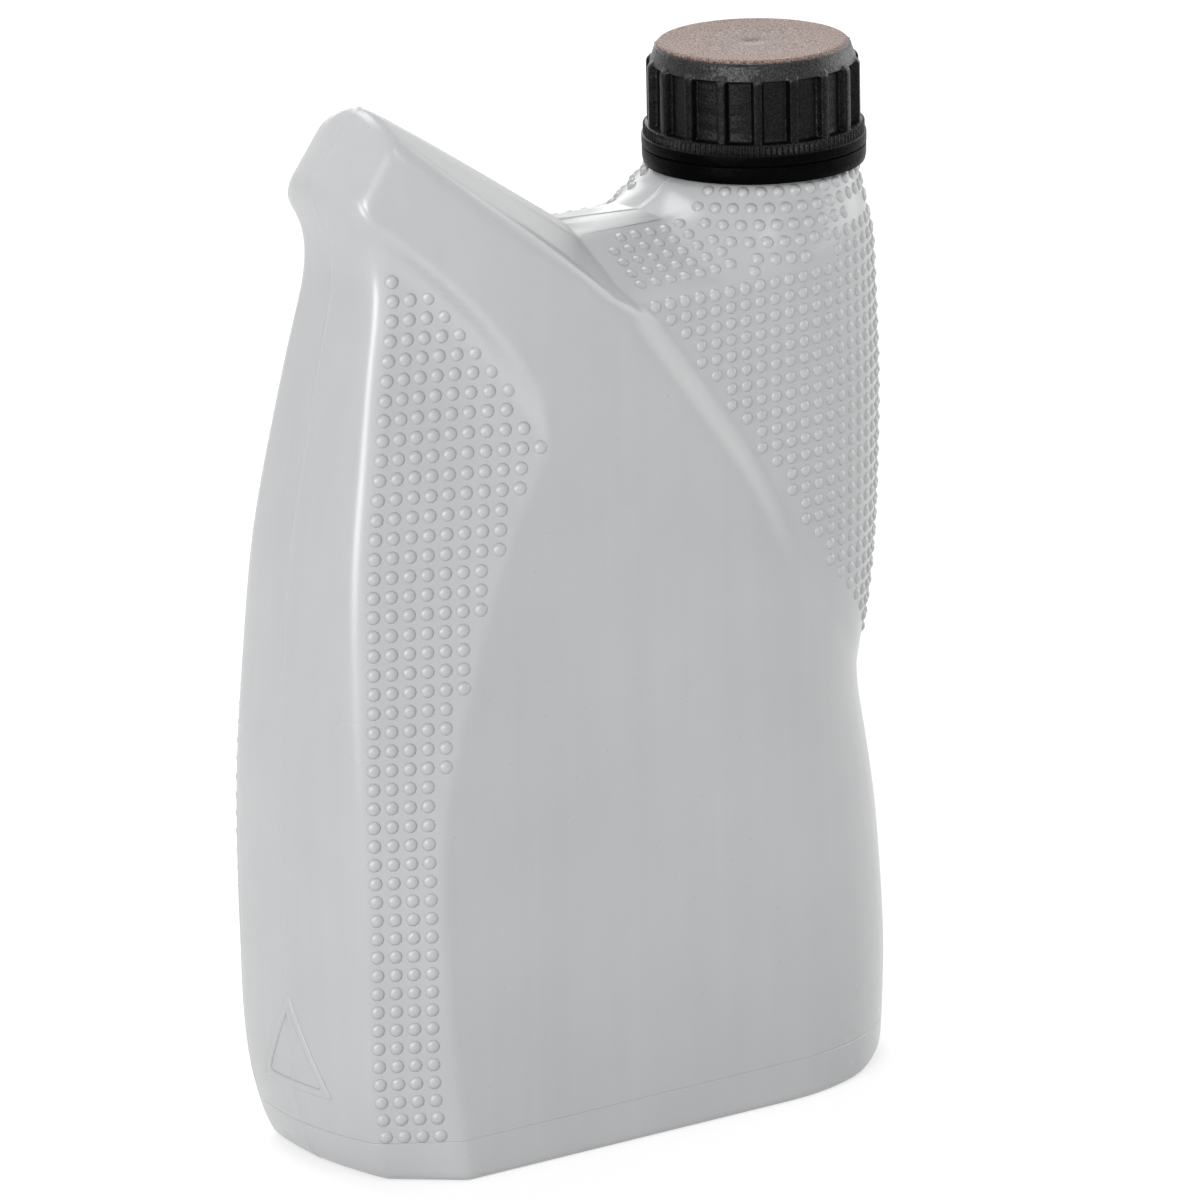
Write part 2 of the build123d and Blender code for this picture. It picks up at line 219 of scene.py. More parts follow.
def makeBlackPp(name):
    material, tree, coords, output = newMaterial(name)
    place = addNode(tree, "ShaderNodeSeparateXYZ", {}, {"Vector": coords})
    onTop = addNode(tree, "ShaderNodeMapRange", {},
                    {"Value": place.outputs["Z"], "From Min": blackPp["topHeight"] * mm,
                     "From Max": (blackPp["topHeight"] + 0.5) * mm})
    grain = addNode(tree, "ShaderNodeTexNoise", {},
                    {"Vector": coords, "Scale": 1 / (blackPp["grainSize"] * mm), "Detail": 3.0})
    mottle = addNode(tree, "ShaderNodeMapRange", {},
                     {"Value": grain.outputs["Fac"], "From Min": 0.3, "From Max": 0.7})
    # painted light: above the top's height the colour is mixed towards a lighter warm grey, mottled by the grain
    paintedTopShare = addNode(tree, "ShaderNodeMath", {"operation": "MULTIPLY"},
                       {0: onTop.outputs[0], 1: mottle.outputs[0]})
    colour = addNode(tree, "ShaderNodeMix", {"data_type": "RGBA"}, {"Factor": paintedTopShare.outputs[0]})
    colour.inputs["A"].default_value = linear(blackPp["black"])
    colour.inputs["B"].default_value = linear(blackPp["paintedTopLight"])
    flat = addNode(tree, "ShaderNodeMapping", {}, {"Vector": coords, "Scale": (0.25, 0.25, 1)})
    wave = addNode(tree, "ShaderNodeTexNoise", {},
                   {"Vector": flat.outputs[0], "Scale": 1 / (blackPp["waveSize"] * mm), "Detail": 1.0})
    waves = addNode(tree, "ShaderNodeBump", {},
                    {"Height": wave.outputs["Fac"], "Distance": blackPp["waveHeight"] * mm, "Strength": 0.7})
    bump = addNode(tree, "ShaderNodeBump", {},
                   {"Height": grain.outputs["Fac"], "Distance": blackPp["grainHeight"] * mm,
                    "Strength": 0.8, "Normal": waves.outputs[0]})
    shine = addNode(tree, "ShaderNodeMapRange", {},
                    {"Value": onTop.outputs[0], "To Min": blackPp["roughness"],
                     "To Max": blackPp["topRoughness"]})
    onRibs = addNode(tree, "ShaderNodeMapRange", {},
                     {"Value": place.outputs["Z"], "From Min": blackPp["skirtTop"] * mm,
                      "From Max": (blackPp["skirtTop"] + 0.2) * mm,
                      "To Min": blackPp["skirtGloss"], "To Max": blackPp["ribGloss"]})
    gloss = addNode(tree, "ShaderNodeMapRange", {},
                    {"Value": place.outputs["Z"], "From Min": blackPp["collarFoot"] * mm,
                     "From Max": (blackPp["collarFoot"] + 0.5) * mm,
                     "To Min": onRibs.outputs[0], "To Max": blackPp["collarGloss"]})
    patchy = addNode(tree, "ShaderNodeMapRange", {},
                     {"Value": mottle.outputs[0], "To Min": 0.4, "To Max": 1.6})
    grained = addNode(tree, "ShaderNodeMath", {"operation": "MULTIPLY"},
                      {0: gloss.outputs[0], 1: patchy.outputs[0]})
    shader = addNode(tree, "ShaderNodeBsdfPrincipled", {},
                     {"Base Color": colour.outputs["Result"], "Roughness": shine.outputs[0],
                      "IOR": 1.49, "Specular IOR Level": grained.outputs[0], "Normal": bump.outputs[0]})
    tree.links.new(shader.outputs[0], output.inputs["Surface"])
    return material


capMaterial = makeBlackPp("Polypropylene moulded black")

# Foamed polyethylene sheet, die cut: off-white, soft and dull with a fine closed-cell pitting, each pit painted darker
# towards its floor as painted shade
linerFoam = {"white": "#e6e4dd", "paintedPitShade": "#cfccc3", "cellSize": 0.6, "pitDepth": 0.06, "roughness": 0.7}


def makeFoam(name):
    material, tree, coords, output = newMaterial(name)
    cells = addNode(tree, "ShaderNodeTexVoronoi", {},
                    {"Vector": coords, "Scale": 1 / (linerFoam["cellSize"] * mm)})
    # painted shade: the colour darkens towards each cell's centre, where the bump sinks its pit
    colour = addNode(tree, "ShaderNodeMix", {"data_type": "RGBA"}, {"Factor": cells.outputs["Distance"]})
    colour.inputs["A"].default_value = linear(linerFoam["paintedPitShade"])
    colour.inputs["B"].default_value = linear(linerFoam["white"])
    bump = addNode(tree, "ShaderNodeBump", {},
                   {"Height": cells.outputs["Distance"], "Distance": linerFoam["pitDepth"] * mm, "Strength": 0.7})
    shader = addNode(tree, "ShaderNodeBsdfPrincipled", {},
                     {"Base Color": colour.outputs["Result"], "Roughness": linerFoam["roughness"],
                      "IOR": 1.5, "Normal": bump.outputs[0]})
    tree.links.new(shader.outputs[0], output.inputs["Surface"])
    return material


linerMaterial = makeFoam("Polyethylene foam die cut")

for node, material in (("bottle", bottleMaterial), ("cap", capMaterial),
                       ("tamper_ring", capMaterial), ("cap_liner", linerMaterial)):
    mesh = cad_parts[node].data
    mesh.materials.clear()
    mesh.materials.append(material)
print("materials done")


# bottle form

bottleForm = {
    "halfLength": 68.25, "labelHalf": 28.7, "crown": 60.0, "endLength": 37.0,
    # height, narrow set-back, cap-end set-back, narrow half width, facet edge x
    "stations": ((-2, 8.6, 3.4, 17.6, -46.5), (0, 6.9, 3.0, 18.2, -46.8), (3, 5.1, 2.5, 18.9, -47.2),
                 (8, 3.4, 2.0, 19.6, -47.9), (14, 1.9, 1.65, 20.2, -48.6), (20, 1.05, 1.4, 20.6, -49.2),
                 (36, 0.5, 1.9, 21.0, -50.4), (52, 0.3, 3.2, 21.4, -51.2), (80, 0.6, 7.7, 20.6, -48.6),
                 (96, 1.6, 9.7, 19.6, -43.8), (120, 4.0, 11.5, 17.9, -35.4), (140, 8.0, 12.0, 16.2, -24.7),
                 (160, 12.6, 12.0, 14.1, -14.5), (170, 14.6, 12.0, 12.7, -9.6), (178, 13.9, 12.0, 11.7, -5.6),
                 (190, 8.6, 12.0, 11.0, 0.0), (206, 4.0, 12.0, 10.4, 6.0)),
    # height, set-back of the shoulder's cap end
    "shoulderStations": ((50, 13.0), (80, 6.0), (100, 2.4), (120, 0.95), (135, 0.55), (150, 0.9), (184, 2.4)),
    # sail line in side view, the step down from it to the shoulder, and how round the panel's edge is there
    "sailStep": 2.3, "sail": ((-2.5, 162.5), (24.5, 126.0), (40.0, 104.0), (78.0, 64.0)),
    "sailDraft": 0.25, "sailBevel": 13.0, "wedgeEdge": 4.5, "sailBlend": 1.2, "sailBlendLess": 0.7,
    # the label faces curve in along the arm, whose lower edge is a circle through three places
    "armLean": 39.3, "armStart": 101.0, "armRadius": 115.0,
    "armEdge": ((-23.7, 142.0), (-38.0, 165.6), (-60.5, 187.5)),
    "noseTop": (-47.2, 202.75), "noseAngle": 52.8, "noseCrown": 19.0,
    "roofAngle": 31.0, "roofFall": 24.0, "roofRidge": 14.0,
    "noseRounding": 3.2, "sideRounding": 0.8, "roofRounding": 2.5, "facetRounding": 3.5,
    # facet edge beside the label and what it gains along the arm; ridge edge and what it gains upwards
    "labelEdge": 0.2, "armEdgeGain": 1.6, "armEdgeZ": (142, 150),
    "ridgeEdge": 0.7, "ridgeEdgeGain": 2.1, "ridgeEdgeZ": (45, 110),
    # wedge face: x of its foot in the middle, how far that falls back, and on to the side; its lean
    "wedgeFoot": (1.7, 3.7, 1.4), "wedgeReach": 18.5, "wedgeLean": (1.4, 0.5, 27),
    "wedgeZ": (158, 165), "wedgeTurnZ": (160.5, 165),
    "saddleZ": 172.0, "saddleHalf": 8.5, "saddleRounding": 0.7, "ridgeZ": 161.5, "houseEnd": 42.0,
    "coneX": 39.35, "coneLean": 0.291, "coneRadius": 28.2, "coneTaper": 0.539, "coneCos": 0.88,
    "coneSwell": 1.1, "swellReach": 14, "swellLess": 0.7, "coneBlend": 4.5,
    "shoulderRounding": 1.4, "shoulderStartX": -15, "ledgeZ": 178.0, "ledgeRadius": 19.31, "axisX": 44.15,
    "footEdge": 1.5, "footNarrow": 2.0, "footEnd": 4.2,
    "hollowDepth": 1.4, "hollowAt": (-40.0, 150.0), "hollowSize": (11.0, 15.0),
}


def naturalSpline(knots, values, at):
    # natural cubic spline: the bends at the knots come from one small linear system
    knots, values = np.asarray(knots, float), np.asarray(values, float)
    step, count = np.diff(knots), len(knots)
    system, right = np.eye(count), np.zeros(count)
    for i in range(1, count - 1):
        system[i, i - 1:i + 2] = step[i - 1], 2 * (step[i - 1] + step[i]), step[i]
        right[i] = 6 * ((values[i + 1] - values[i]) / step[i] - (values[i] - values[i - 1]) / step[i - 1])
    bend = np.linalg.solve(system, right)
    k = np.clip(np.searchsorted(knots, at) - 1, 0, count - 2)
    after, before, wide = at - knots[k], knots[k + 1] - at, step[k]
    return ((bend[k] * before ** 3 + bend[k + 1] * after ** 3) / (6 * wide)
            + (values[k] / wide - bend[k] * wide / 6) * before
            + (values[k + 1] / wide - bend[k + 1] * wide / 6) * after)


def makeTables():
    # every outline that depends on the height alone, on one fine column of heights
    form = bottleForm
    z = np.arange(-3, 210, 0.25)
    columns = np.array(form["stations"], float).T
    shoulder = np.array(form["shoulderStations"], float).T
    tables = {"z": z, "left": naturalSpline(columns[0], columns[1], z) - form["halfLength"],
              "end": form["halfLength"] - naturalSpline(columns[0], columns[2], z),
              "half": naturalSpline(columns[0], columns[3], z),
              "facetX": naturalSpline(columns[0], columns[4], z),
              "shoulderEnd": form["halfLength"] - naturalSpline(shoulder[0], shoulder[1], z)}
    # sail line: a spline through its points by chord length, then straight up past its top
    sail = np.array(form["sail"])
    chord = np.concatenate([[0], np.cumsum(np.linalg.norm(np.diff(sail, axis=0), axis=1))])
    along = np.linspace(0, chord[-1], 300)
    sailX, sailZ = naturalSpline(chord, sail[:, 0], along), naturalSpline(chord, sail[:, 1], along)
    order = np.argsort(sailZ)
    tables["sailX"] = np.interp(z, sailZ[order], sailX[order])
    tables["sailX"] = np.where(z > sail[0, 1], sail[0, 0], tables["sailX"])
    tables["sailX"] = np.where(z < sail[-1, 1], sail[-1, 0] + (sail[-1, 1] - z), tables["sailX"])
    # lower edge of the arm: the circle through its three points, straight on below its corner
    (ax, az), (bx, bz), (cx, cz) = form["armEdge"]
    turn = 2 * (ax * (bz - cz) + bx * (cz - az) + cx * (az - bz))
    a2, b2, c2 = ax * ax + az * az, bx * bx + bz * bz, cx * cx + cz * cz
    midX = (a2 * (bz - cz) + b2 * (cz - az) + c2 * (az - bz)) / turn
    midZ = (a2 * (cx - bx) + b2 * (ax - cx) + c2 * (bx - ax)) / turn
    radius = np.hypot(ax - midX, az - midZ)
    edgeX = midX + np.sqrt(np.maximum(radius ** 2 - (z - midZ) ** 2, 1.0))
    slope = -(az - midZ) / (ax - midX)
    tables["armX"] = np.where(z < az, ax + slope * (z - az), edgeX)
    for name in ("sail", "arm"):
        fall = np.gradient(tables[name + "X"], z)
        fall = np.convolve(np.pad(fall, 6, mode="edge"), np.ones(13) / 13, mode="valid")
        tables[name + "Cos"] = 1 / np.sqrt(1 + fall ** 2)
    return tables


tables = makeTables()


def table(name, z):
    # one outline at any height, read off the column of heights
    return np.interp(z, tables["z"], tables[name])


def roundMax(a, b, r):
    # the larger of two distances, with the edge between them rounded to about r
    u, v = np.maximum(a + r, 0), np.maximum(b + r, 0)
    return np.minimum(np.maximum(a, b), -r) + np.sqrt(u * u + v * v)


def roundMin(a, b, r):
    # the smaller of two distances, rounded the same way
    return -roundMax(-a, -b, r)


def roofDepth(a):
    # how far the roof has fallen at half width a: an arc, then a straight slope
    form = bottleForm
    fall = np.radians(form["roofFall"])
    reach = form["roofRidge"] * np.sin(fall)
    arc = form["roofRidge"] - np.sqrt(form["roofRidge"] ** 2 - np.minimum(a, reach) ** 2)
    return arc + np.maximum(a - reach, 0) * np.tan(fall)


def houseZ(a):
    # height of the shoulder at half width a: flat saddle, then a straight slope to its ridge
    form = bottleForm
    fall = (form["saddleZ"] - form["ridgeZ"]) / (form["labelHalf"] - form["sailStep"] - form["saddleHalf"])
    return form["saddleZ"] - np.maximum(a - form["saddleHalf"], 0) * fall


def bottleField(x, y, z):
    # signed distance to the skin, negative inside. Panel: crowned narrow side, label faces that curve in
    # along the arm, elliptical cap end, nose face and roof, less the facets under the arm's lower edge.
    # Shoulder: its plan under the saddle, its slopes and the leaning cone. The sail line parts the two.
    form = bottleForm
    a = np.abs(y)
    left, half, facetX = table("left", z), table("half", z), table("facetX", z)
    crown = form["crown"]
    root = np.sqrt(crown ** 2 - np.minimum(a, 36) ** 2)
    narrow = (left + crown - root - x) * root / crown
    along = -np.cos(np.radians(form["armLean"])) * x + np.sin(np.radians(form["armLean"])) * z
    reach = np.clip(along - form["armStart"], 0, form["armRadius"] - 5)
    arc = np.sqrt(form["armRadius"] ** 2 - reach ** 2)
    label = (a - form["labelHalf"] + form["armRadius"] - arc) * arc / form["armRadius"]
    endX = table("end", z) - form["endLength"]
    share = np.maximum(x - endX, 0) / form["endLength"]
    end = (np.sqrt(share ** 2 + (a / form["labelHalf"]) ** 2) - 1) * form["labelHalf"]
    side = np.maximum(label, end)
    noseTurn, roofTurn = np.radians(form["noseAngle"]), np.radians(form["roofAngle"])
    fromTopX, fromTopZ = x - form["noseTop"][0], z - form["noseTop"][1]
    nose = -fromTopX * np.sin(noseTurn) + fromTopZ * np.cos(noseTurn) + a ** 2 / (2 * form["noseCrown"])
    nose = nose / np.sqrt(1 + (a / form["noseCrown"]) ** 2)
    roofFall = np.cos(np.radians(form["roofFall"]))
    roof = (fromTopX * np.sin(roofTurn) + fromTopZ * np.cos(roofTurn) + roofDepth(a)) * roofFall
    arm = roundMax(narrow, nose, form["noseRounding"])
    arm = roundMax(roundMax(arm, side, form["sideRounding"]), roof, form["roofRounding"])
    ridgeX = left + crown - np.sqrt(crown ** 2 - half ** 2)
    slope = (form["labelHalf"] - half) / (facetX - ridgeX)
    offX = (x - form["hollowAt"][0]) / form["hollowSize"][0]
    offZ = (z - form["hollowAt"][1]) / form["hollowSize"][1]
    hollow = form["hollowDepth"] * np.exp(-offX ** 2 - offZ ** 2)
    facet = (a - half - (x - ridgeX) * slope) / np.sqrt(1 + slope ** 2) + hollow
    aboveEdge = (x - table("armX", z)) * table("armCos", z)
    cutter = roundMin(facet, -aboveEdge, form["facetRounding"])
    # its edge is crisp beside the label, softer along the arm and rounded along the narrow side
    gain = smoothStep(aboveEdge, -3, 0) * smoothStep(z, *form["armEdgeZ"])
    crisp = form["labelEdge"] + form["armEdgeGain"] * gain
    ridge = form["ridgeEdge"] + form["ridgeEdgeGain"] * smoothStep(z, *form["ridgeEdgeZ"])
    panel = roundMax(arm, cutter, crisp + (ridge - crisp) * smoothStep(narrow - side, -5, 3))
    # sail line, which turns into the wedge face over the saddle
    sail = (x - table("sailX", z)) * table("sailCos", z)
    middleX, fallBack, sideFall = form["wedgeFoot"]
    outwards = np.clip((a - form["saddleHalf"]) / form["wedgeReach"], 0, 1)
    footX = middleX - fallBack * smoothStep(a, 0, 10) - sideFall * outwards
    steep, easing, easedAt = form["wedgeLean"]
    lean = steep - easing * np.clip(a / easedAt, 0, 1)
    wedge = (x - footX + (z - houseZ(a)) * lean) / np.sqrt(1 + lean ** 2)
    atWedge = smoothStep(z, *form["wedgeZ"])
    bevel = form["sailBevel"] + (form["wedgeEdge"] - form["sailBevel"]) * atWedge
    # the bevel's foot stays on the sail line
    drop = form["sailStep"]
    inset = form["sailBevel"] - np.sqrt(form["sailBevel"] ** 2 - (form["sailBevel"] - drop) ** 2)
    limit = sail - inset * (1 - atWedge) + (wedge - sail) * smoothStep(z, *form["wedgeTurnZ"])
    panel = roundMax(panel, limit, bevel)
    # shoulder
    shoulderHalf = form["labelHalf"] - form["sailStep"]
    shoulderShare = np.maximum(x - table("shoulderEnd", z) + form["endLength"], 0) / form["endLength"]
    plan = (np.sqrt(shoulderShare ** 2 + (a / shoulderHalf) ** 2) - 1) * shoulderHalf
    run = (shoulderHalf - form["saddleHalf"]) / (form["saddleZ"] - form["ridgeZ"])
    slopeFace = ((z - form["saddleZ"]) * run + a - form["saddleHalf"]) / np.sqrt(1 + run ** 2)
    house = roundMax(z - form["saddleZ"], slopeFace, form["saddleRounding"])
    house = np.maximum(house, x - form["houseEnd"])
    up = z - form["ridgeZ"]
    centre = form["coneX"] + form["coneLean"] * up
    tall = form["ledgeZ"] - form["ridgeZ"]
    swell = form["coneSwell"] * 4 * np.clip(up / tall, 0, 1) * (1 - np.clip(up / tall, 0, 1))
    reach = form["swellReach"]
    swell = swell * (smoothStep(centre - x, 0, reach) - form["swellLess"] * smoothStep(x - centre, 0, reach))
    radius = form["coneRadius"] - form["coneTaper"] * up + swell
    cone = (np.hypot(x - centre, a) - radius) * form["coneCos"]
    shoulder = roundMax(plan, roundMin(house, cone, form["coneBlend"]), form["shoulderRounding"])
    shoulder = np.maximum(shoulder, form["shoulderStartX"] - x)
    body = roundMin(panel, shoulder, form["sailBlend"] - form["sailBlendLess"] * atWedge)
    # foot: a crisp edge, slightly wider under the narrow side and wide under the cap end
    atNarrow = smoothStep(narrow - np.maximum(side, facet), 0, 6)
    atEnd = smoothStep(share, 0.5, 0.95)
    foot = form["footEdge"] + (form["footNarrow"] - form["footEdge"]) * atNarrow
    foot = foot + (form["footEnd"] - form["footEdge"]) * atEnd
    return roundMax(body, -z, foot)


def meetSkin(origin, direction, reach):
    # halves the span along each ray 26 times around the point where the field is zero
    low, high = np.zeros(origin.shape[:-1]), np.full(origin.shape[:-1], float(reach))
    for _ in range(26):
        middle = (low + high) / 2
        place = origin + middle[..., None] * direction
        inside = bottleField(place[..., 0], place[..., 1], place[..., 2]) < 0
        low, high = np.where(inside, middle, low), np.where(inside, high, middle)
    return origin + ((low + high) / 2)[..., None] * direction


def depthAt(x, z):
    # the skin's half width over a point of the side view, as a point on the -Y side
    origin = np.stack([x, 0 * x, z], -1)
    return meetSkin(origin, np.array([0.0, -1.0, 0.0]), 40)


def stepsAlong(count, startShare, endShare, reach):
    # places from 0 to 1 whose steps shrink towards both ends
    cell = np.arange(count)
    weight = 1 - (1 - startShare) * np.exp(-cell / reach) - (1 - endShare) * np.exp(-(count - 1 - cell) / reach)
    return np.concatenate([[0], np.cumsum(weight)]) / weight.sum()


def coons(left, right, bottom, top, u, v):
    # blends four border lines: rows run from bottom to top, columns from left to right
    u, v = u[None, :, None], v[:, None, None]
    sides = (1 - u) * left[:, None] + u * right[:, None] + (1 - v) * bottom[None] + v * top[None]
    corners = ((1 - u) * (1 - v) * bottom[0] + u * (1 - v) * bottom[-1]
               + (1 - u) * v * top[0] + u * v * top[-1])
    return sides - corners


skinGrid = {
    "rows": 172, "footColumns": 88, "endColumns": 54, "upperRows": 50, "saddleShare": 0.42,
    "ribbonY": (0.0, 0.16, 0.36, 0.7, 1.5, 3.0, 4.7, 6.4, 8.0), "partingHeight": 0.16,
    # where rays start along the parting line, and their direction in degrees from +X
    "guide": ((-46, 0.001, 180), (-46, 162, 180), (-46.5, 172, 180), (-48.5, 180, 172), (-49.2, 182.5, 160),
              (-49.9, 183.7, 145.5), (-42.5, 194, 145.5), (-42.5, 194, 102), (-42.5, 194, 59),
              (-7.5, 172.9, 59), (-4.4, 168.5, 66), (-1, 164, 84), (2, 163, 90), (16, 163, 90), (24.85, 163, 90)),
    "cornerNode": 7, "wedgeNode": 10,
    # foot rings: how far in from the edge, and height
    "footRings": ((1.5, 0.0), (4, 0.0), (6.3, 0.0), (6.8, 0.12), (7.2, 0.6), (7.6, 1.08), (8.2, 1.2), (13, 1.2)),
}


def ribbonRays(node, across):
    # origins and directions of the ribbon's rays at places along the guide
    guide = np.array(skinGrid["guide"], float)
    index = np.arange(len(guide))
    x, z, turn = (np.interp(node, index, guide[:, k]) for k in range(3))
    turn = np.radians(turn)
    y = across[None, :] * np.ones_like(node)[:, None]
    # the last stretch bends round onto the ledge's circle
    circle = bottleForm["axisX"] - np.sqrt(bottleForm["ledgeRadius"] ** 2 - y ** 2)
    bend = np.clip(node - (len(guide) - 2), 0, 1)[:, None] ** 1.5
    origin = np.stack([x[:, None] + (circle - circle.max(where=np.abs(y) < 1e-9, initial=-1e9)) * bend, y,
                       z[:, None] + 0 * y], -1)
    direction = np.stack([np.cos(turn), 0 * turn, np.sin(turn)], -1)[:, None, :] * np.ones_like(y)[..., None]
    return origin, direction


def spreadAlong(line, wanted):
    # points at the wanted shares of a line's length
    along = np.concatenate([[0], np.cumsum(np.linalg.norm(np.diff(line, axis=0), axis=1))])
    return np.stack([np.interp(np.asarray(wanted) * along[-1], along, line[:, k]) for k in range(line.shape[1])], -1)


def raiseParting(ribbon, direction):
    # the parting line stands proud of the skin at y = 0 and dies away within half a millimetre
    lift = skinGrid["partingHeight"] * smoothStep(np.abs(ribbon[..., 1]), 0.42, 0.1)
    return ribbon + lift[..., None] * direction


def makeSkin():
    # two blocks each side of the sail line and a ribbon along each parting line share their borders
    grid, form = skinGrid, bottleForm
    across = -np.array(grid["ribbonY"])
    roofCount = grid["footColumns"] + grid["endColumns"]
    rows = grid["rows"]
    circle = form["ledgeRadius"]
    # ribbon over the narrow side, nose, roof and saddle: a dense pass finds its length first
    dense = np.linspace(0, len(grid["guide"]) - 1, 2400)
    origin, direction = ribbonRays(dense, across[-1:])
    line = meetSkin(origin, direction, 60)[:, 0]
    length = np.concatenate([[0], np.cumsum(np.linalg.norm(np.diff(line, axis=0), axis=1))])
    cornerAt, wedgeAt = np.interp([grid["cornerNode"], grid["wedgeNode"]], dense, length)
    v = stepsAlong(rows, 0.08, 0.3, 9)
    roofCells = stepsAlong(roofCount, 0.4, 0.6, 8)
    saddleCount = int(rows * grid["saddleShare"])
    saddleCells = stepsAlong(saddleCount, 0.5, 0.8, 8)
    startB = wedgeAt + 0.3
    wanted = np.concatenate([v * cornerAt, (cornerAt + roofCells * (wedgeAt - cornerAt))[1:],
                             startB + saddleCells * (length[-1] - startB)])
    nodes = np.interp(wanted, length, dense)
    nodes[-1] = len(grid["guide"]) - 1
    origin, direction = ribbonRays(nodes, across)
    ribbon = meetSkin(origin, direction, 60)
    ribbon[-1, :, 2] = form["ledgeZ"]
    ribbon[-1, :, 0] = form["axisX"] - np.sqrt(circle ** 2 - across ** 2)
    leftBorder, roofBorder = ribbon[:rows + 1, -1], ribbon[rows:rows + 1 + roofCount, -1]
    saddleBorder = ribbon[rows + 1 + roofCount:, -1]
    lift = raiseParting(ribbon, direction)
    lift[0], lift[-1] = ribbon[0], ribbon[-1]
    # ribbon up the cap end
    heights = np.linspace(0.001, form["ledgeZ"], 1500)
    outward = np.array([1.0, 0, 0])
    line = meetSkin(np.stack([0 * heights + 30, 0 * heights + across[-1], heights], -1), outward, 60)
    away = (line[:, 0] - table("sailX", line[:, 2])) * table("sailCos", line[:, 2])
    length = np.concatenate([[0], np.cumsum(np.linalg.norm(np.diff(line, axis=0), axis=1))])
    lowEnd, upStart = length[np.argmax(away > 0)], length[np.argmax(away > form["sailDraft"])]
    endCells = stepsAlong(grid["endColumns"], 0.1, 0.5, 7)
    vUp = stepsAlong(grid["upperRows"], 0.16, 0.7, 7)
    zAll = np.interp(np.concatenate([endCells * lowEnd, upStart + vUp * (length[-1] - upStart)]), length, heights)
    y = across[None, :] + 0 * zAll[:, None]
    endRibbon = meetSkin(np.stack([0 * y + 30, y, zAll[:, None] + 0 * y], -1), outward, 60)
    endBorder, rightUp = endRibbon[:grid["endColumns"] + 1, -1], endRibbon[grid["endColumns"] + 1:, -1]
    endLift = raiseParting(endRibbon, outward)
    endLift[0], endLift[-1] = endRibbon[0], endRibbon[-1]

    def flat(points):
        return points[:, [0, 2]]

    def sailLine(start, finish, off):
        # from the cap end up the sail line, then up the wedge face to the roof's end
        z = np.linspace(finish[1], form["sail"][0][1], 400)
        line = np.stack([table("sailX", z) + off / table("sailCos", z), z], -1)
        line[0] = finish
        return spreadAlong(np.concatenate([line, [start]]), sailCells)

    sailCells = stepsAlong(rows, 0.5, 0.4, 8)
    inner = sailLine(flat(roofBorder)[-1], flat(endBorder)[-1], 0.0)
    outer = sailLine(flat(saddleBorder)[0], flat(rightUp)[0], form["sailDraft"])
    footCells = stepsAlong(grid["footColumns"], 0.35, 0.5, 10)
    footLine = np.stack([leftBorder[0, 0] + footCells * (endBorder[0, 0] - leftBorder[0, 0]),
                         0 * footCells + 0.001], -1)
    bottom = np.concatenate([footLine, flat(endBorder)[1:]])
    u = stepsAlong(roofCount, 0.4, 0.6, 8)
    share = np.concatenate([[0], np.cumsum(np.linalg.norm(np.diff(bottom, axis=0), axis=1))])
    u = (u + share / share[-1]) / 2
    lower = coons(flat(leftBorder), inner, bottom, flat(roofBorder), u, v)
    lowerSkin = depthAt(lower[..., 0], lower[..., 1])
    lowerSkin[:, 0], lowerSkin[-1] = leftBorder, roofBorder
    lowerSkin[0, grid["footColumns"]:] = endBorder
    # block above the sail line; its left side shrinks to the roof's end
    turnStart = np.arccos((form["axisX"] - saddleBorder[-1, 0]) / circle)
    turnEnd = np.pi - np.arccos((rightUp[-1, 0] - form["axisX"]) / circle)
    turn = np.linspace(turnStart, turnEnd, rows - saddleCount + 1)[1:]
    ledge = np.stack([form["axisX"] - circle * np.cos(turn), -circle * np.sin(turn), 0 * turn + form["ledgeZ"]], -1)
    ledge[-1] = rightUp[-1]
    upperTop = np.concatenate([saddleBorder, ledge])
    corner = np.repeat(flat(saddleBorder)[:1], len(vUp), 0)
    upper = coons(corner, flat(rightUp), outer[::-1], flat(upperTop), sailCells, vUp)
    ceiling = np.interp(upper[..., 0], upperTop[:, 0], np.minimum.accumulate(upperTop[::-1, 2])[::-1])
    upper[..., 1] = np.minimum(upper[..., 1], ceiling - 0.6 * (1 - vUp[:, None]))
    upperSkin = depthAt(upper[..., 0], upper[..., 1])
    upperSkin[-1], upperSkin[:, -1], upperSkin[:, 0] = upperTop, rightUp, saddleBorder[0]
    wall = np.stack([lowerSkin[:, -1], upperSkin[0, ::-1]])
    patches = []
    mirrored = np.array([1, -1, 1])
    for sheet in (lift, endLift, lowerSkin, upperSkin, wall):
        quads = gridQuads(*sheet.shape[:2])
        patches += [(sheet, quads), (sheet * mirrored, quads)]
    # foot: the loop round the base, drawn in to the standing rim and up into the shallow hollow
    front = np.concatenate([ribbon[0], lowerSkin[0, 1:grid["footColumns"]], endRibbon[0, ::-1]])
    loop = np.concatenate([front, (front * mirrored)[::-1][1:-1]])
    core = np.stack([np.clip(loop[:, 0], -36, 36), 0 * loop[:, 1]], -1)
    gap = loop[:, :2] - core
    reach = np.linalg.norm(gap, axis=1, keepdims=True)
    rings = [loop] + [np.column_stack([core + gap * (1 - inwards / reach), 0 * reach + height])
                      for inwards, height in grid["footRings"]]
    rings.append(np.column_stack([core, 0 * reach + grid["footRings"][-1][1]]))
    patches.append((np.stack(rings), gridQuads(len(rings), len(loop), closed=True)))
    # neck finish on the same turns as the ledge's loop
    front = np.concatenate([ribbon[-1], ledge[:-1], endRibbon[-1, ::-1]])
    loop = np.concatenate([front, (front * mirrored)[::-1][1:-1]])
    finish = neckFinish(loop)
    patches.append((finish, gridQuads(len(finish), len(loop), closed=True)))
    return patches


